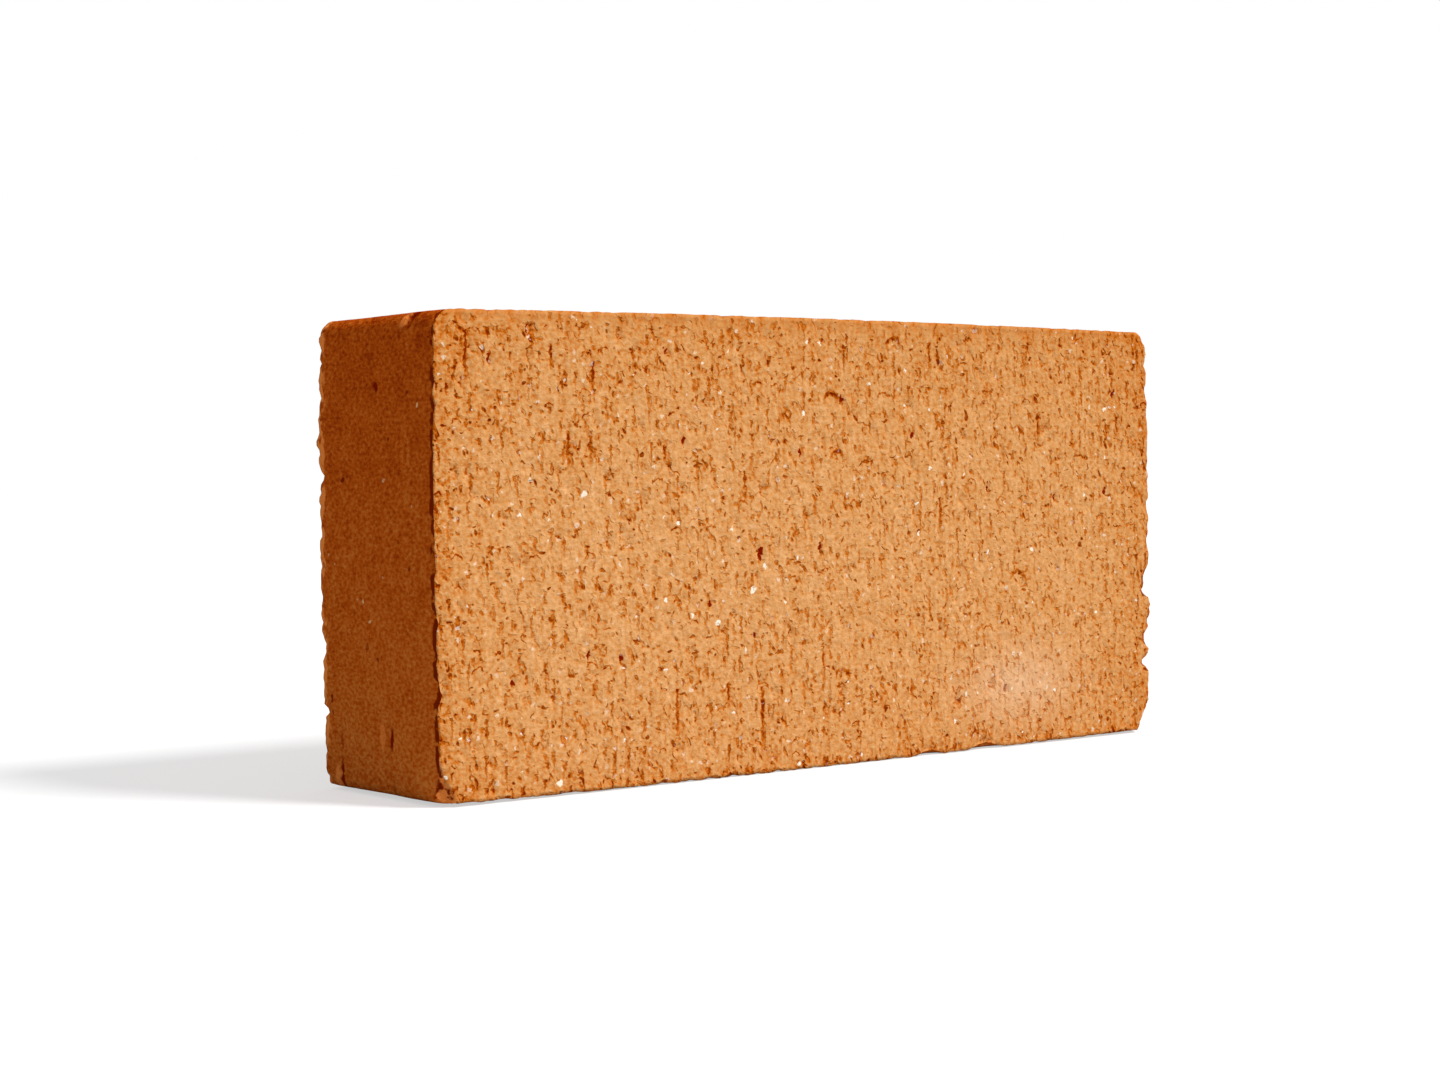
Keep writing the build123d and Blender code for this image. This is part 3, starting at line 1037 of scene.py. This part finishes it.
def fired_clay(finish, mask_names):
    """Unglazed fired clay. The wire lays open a granular, sandy body: matt and dusty orange, with dark rust
    and painted shade in every tear, and white quartz. The die presses the other faces to a closed skin,
    which fires deeper and redder and shows only a fine grain."""
    material = bpy.data.materials.new("unglazed_fired_clay")
    material.use_nodes = True
    tree = material.node_tree
    tree.nodes.clear()
    node = partial(add_node, tree)
    colour = {name: (*getattr(finish, name), 1.0) for name in finish.__annotations__}
    masks = {name: node("Attribute", attribute_name=name)["Fac"] for name in mask_names}

    # Places in millimetres. Each cut has its own stretch of one plane, so the two cuts differ.
    place = node("VectorMath", {0: node("TexCoord")["Object"], 1: (1 / MM,) * 3}, operation="MULTIPLY")[0]
    x, y, z = node("SeparateXYZ", {0: place})
    side = node("Math", {0: y}, operation="SIGN")[0]
    plane = node("CombineXYZ", {0: total(node, x, (side, CUT_STRETCH)), 1: z})[0]

    shaders = []
    lumps = fresh_break(node, colour, place)
    for clay, height in (die_skin(node, colour, place, masks), cut_clay(node, colour, plane, masks)):
        clay = node("Mix", {0: masks["broken"], 6: clay, 7: lumps}, data_type="RGBA")[2]
        bump = node("Bump", {"Height": height, "Distance": MM, "Strength": 1.0})[0]
        look = {"Base Color": clay, "Roughness": CLAY_ROUGHNESS, "Specular IOR Level": CLAY_SHINE}
        shaders.append(node("BsdfPrincipled", {**look, "Normal": bump})[0])
    surface = node("MixShader", {0: masks["cut"], 1: shaders[0], 2: shaders[1]})[0]
    node("OutputMaterial", {"Surface": surface})
    return material


class BRICK_OT_clay_brick(bpy.types.Operator):
    """Builds the brick as one closed surface of fired clay, in place of the plain solid"""

    bl_idname = "brick.clay_brick"
    bl_label = "Clay brick"

    def execute(self, context):
        points, faces, masks = brick_surface(context.scene.brick_shape)
        piece = bpy.data.objects.new("clay_brick", closed_mesh("clay_brick", points, faces, masks))
        context.scene.collection.objects.link(piece)
        piece.data.materials.append(fired_clay(context.scene.brick_finish, masks))
        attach(piece, "root")
        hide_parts("brick")
        return {"FINISHED"}


def seen_directly(node):
    """1 for rays that show a thing to the camera, straight or by gloss or glass, and 0 for its light."""
    rays = node("LightPath")
    return strongest(node, rays["Is Camera Ray"], rays["Is Glossy Ray"], rays["Is Transmission Ray"])


def studio_floor():
    """A wide white floor. It shows as white paper with the brick's soft shadow, and throws back little
    light."""
    half = FLOOR_SIZE / 2
    corners = [(-half, -half, 0), (half, -half, 0), (half, half, 0), (-half, half, 0)]
    mesh = bpy.data.meshes.new("floor")
    mesh.from_pydata(corners, [], [(0, 1, 2, 3)])
    material = bpy.data.materials.new("white_paper")
    material.use_nodes = True
    material.node_tree.nodes.clear()
    node = partial(add_node, material.node_tree)
    paper = node("BsdfDiffuse", {"Color": (PAPER_SHADE, PAPER_SHADE, PAPER_SHADE, 1)})[0]
    glow = node("Emission", {"Color": (1, 1, 1, 1), "Strength": PAPER_GLOW})[0]
    shown = node("AddShader", {0: paper, 1: glow})[0]
    bounce = node("BsdfDiffuse", {"Color": (PAPER_BOUNCE, PAPER_BOUNCE, PAPER_BOUNCE, 1)})[0]
    surface = node("MixShader", {0: seen_directly(node), 1: bounce, 2: shown})[0]
    node("OutputMaterial", {"Surface": surface})
    mesh.materials.append(material)
    return bpy.data.objects.new("floor", mesh)


def studio_world(ambient):
    """Even light from all round, which the camera sees as white."""
    world = bpy.data.worlds.new("studio")
    world.use_nodes = True
    world.node_tree.nodes.clear()
    node = partial(add_node, world.node_tree)
    strength = node("Mix", {0: seen_directly(node), 2: ambient, 3: 1.0})[0]
    light = node("Background", {"Color": (1, 1, 1, 1), "Strength": strength})[0]
    node("OutputWorld", {"Surface": light})
    return world


def key_lamp(studio):
    """A broad lamp far off, from above, the front and the right."""
    lamp = bpy.data.lights.new("key_lamp", "SUN")
    lamp.energy = math.pi * studio.key_level
    lamp.angle = studio.key_softness
    holder = bpy.data.objects.new("key_lamp", lamp)
    turn, rise = studio.key_azimuth, studio.key_elevation
    to_lamp = Vector((math.sin(turn) * math.cos(rise), -math.cos(turn) * math.cos(rise), math.sin(rise)))
    holder.rotation_euler = to_lamp.to_track_quat("Z", "Y").to_euler()
    return holder


def photo_camera(studio):
    """A camera that looks along its turn and tilt, rolled about its own line of sight."""
    turn, tilt, roll = studio.camera_turn
    ahead = Vector((math.sin(turn) * math.cos(tilt), math.cos(turn) * math.cos(tilt), math.sin(tilt)))
    right = Vector((math.cos(turn), -math.sin(turn), 0))
    axes = Matrix((right, right.cross(ahead), -ahead)).transposed() @ Matrix.Rotation(roll, 3, "Z")
    camera = bpy.data.cameras.new("photo_camera")
    camera.sensor_width = SENSOR_WIDTH
    camera.lens = studio.lens
    holder = bpy.data.objects.new("photo_camera", camera)
    holder.matrix_world = Matrix.Translation(studio.camera_place) @ axes.to_4x4()
    return holder


class BRICK_OT_studio(bpy.types.Operator):
    """Sets up the floor, the light and the camera"""

    bl_idname = "brick.studio"
    bl_label = "Studio"

    def execute(self, context):
        scene = context.scene
        floor, lamp = studio_floor(), key_lamp(scene.brick_studio)
        camera = photo_camera(scene.brick_studio)
        for thing in (floor, lamp, camera):
            scene.collection.objects.link(thing)
        scene.world = studio_world(scene.brick_studio.ambient)
        scene.camera = camera
        scene.view_settings.view_transform = "Standard"
        return {"FINISHED"}


class BRICK_PT_panel(bpy.types.Panel):
    """Lists the brick's pieces and settings"""

    bl_idname = "BRICK_PT_panel"
    bl_label = "Wire-cut clay brick"
    bl_space_type = "VIEW_3D"
    bl_region_type = "UI"
    bl_category = "Brick"

    def draw(self, context):
        for operator, groups in OPERATORS.items():
            box = self.layout.box()
            for name in groups:
                settings = getattr(context.scene, name)
                for key in settings.__annotations__:
                    box.prop(settings, key)
            box.operator(operator)


GROUPS = {"brick_shape": BrickShape, "brick_finish": BrickFinish, "brick_studio": BrickStudio}
OPERATORS = {"brick.clay_brick": ("brick_shape", "brick_finish"), "brick.studio": ("brick_studio",)}
CLASSES = (*GROUPS.values(), BRICK_OT_clay_brick, BRICK_OT_studio, BRICK_PT_panel)


def register():
    for kind in CLASSES:
        bpy.utils.register_class(kind)
    for name, kind in GROUPS.items():
        setattr(bpy.types.Scene, name, PointerProperty(type=kind))


def unregister():
    for name in GROUPS:
        delattr(bpy.types.Scene, name)
    for kind in reversed(CLASSES):
        bpy.utils.unregister_class(kind)


def main():
    register()
    bpy.ops.brick.clay_brick()
    bpy.ops.brick.studio()


if __name__ == "__main__":
    main()
